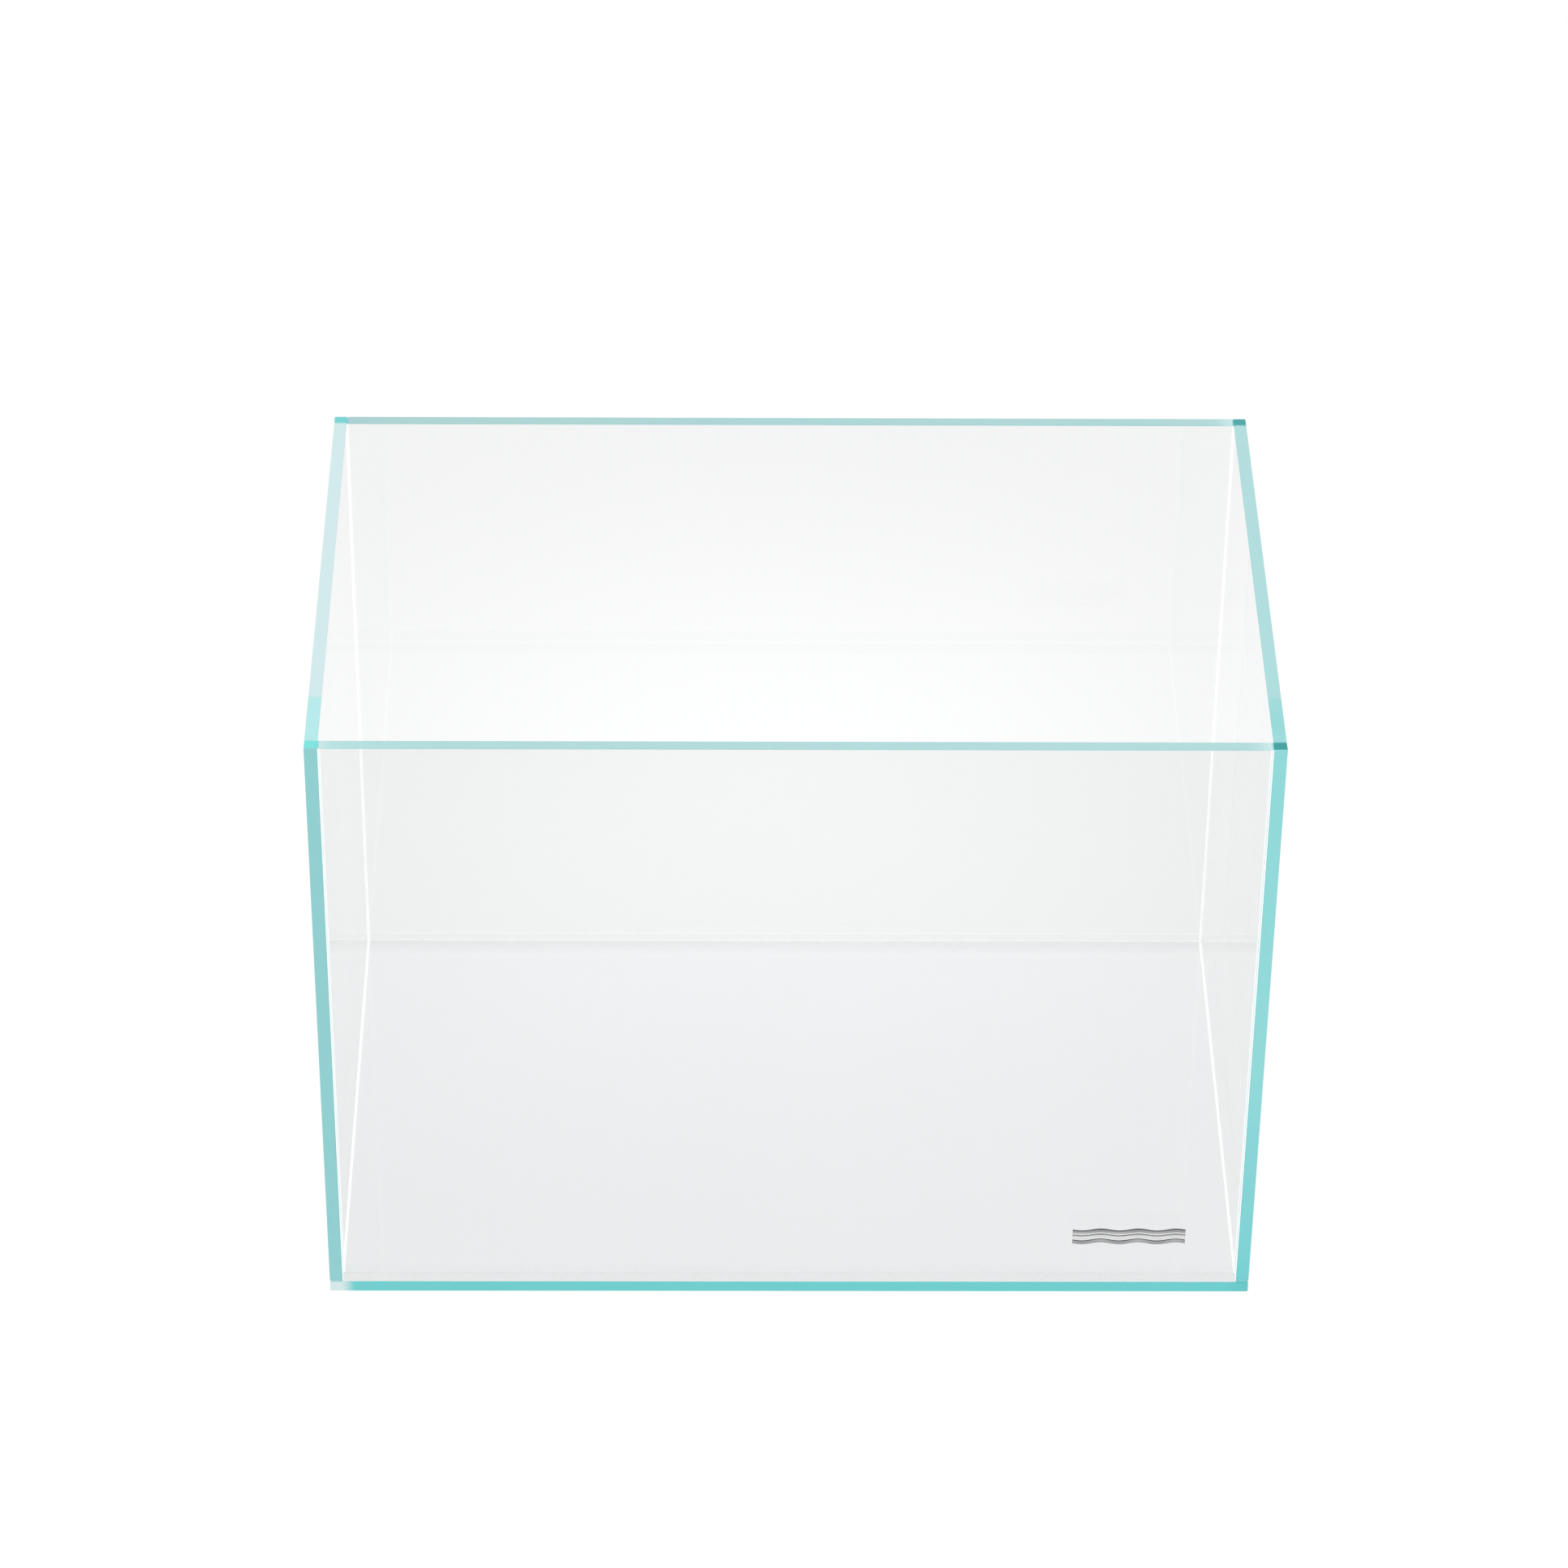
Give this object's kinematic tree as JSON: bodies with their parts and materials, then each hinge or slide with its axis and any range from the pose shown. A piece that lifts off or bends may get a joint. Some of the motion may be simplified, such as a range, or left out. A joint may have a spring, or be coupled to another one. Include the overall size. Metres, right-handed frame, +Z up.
{
  "type": "rimless glass aquarium tank",
  "caption": "Open-topped rimless aquarium of low-iron glass panes, butt-jointed with clear silicone on a full-footprint base pane.",
  "frame": {"origin": "middle of the underside of the base pane", "axes": "+X to the right seen from the front, -Y out of the front wall (the one with the badge), +Z up"},
  "size_m": [0.36, 0.2204, 0.265],
  "materials": {
    "glass": "low-iron float glass, flat polished edges with a fine bevel, aqua where it is seen through an edge",
    "silicone": "clear aquarium silicone, smooth",
    "badge_metal": "bright electroformed nickel transfer",
    "badge_film": "clear acrylic adhesive film"
  },
  "bodies": {
    "root": {"base_pane": "glass", "front_pane": "glass", "back_pane": "glass", "left_pane": "glass", "right_pane": "glass", "seam_bottom_front": "silicone", "seam_bottom_back": "silicone", "seam_bottom_left": "silicone", "seam_bottom_right": "silicone", "seam_corner_front_left": "silicone", "seam_corner_front_right": "silicone", "seam_corner_back_left": "silicone", "seam_corner_back_right": "silicone", "bead_bottom_front": "silicone", "bead_bottom_back": "silicone", "bead_bottom_left": "silicone", "bead_bottom_right": "silicone", "bead_corner_front_left": "silicone", "bead_corner_front_right": "silicone", "bead_corner_back_left": "silicone", "bead_corner_back_right": "silicone", "badge_ripples": "badge_metal", "badge_adhesive": "badge_film"}
  },
  "joints": []
}
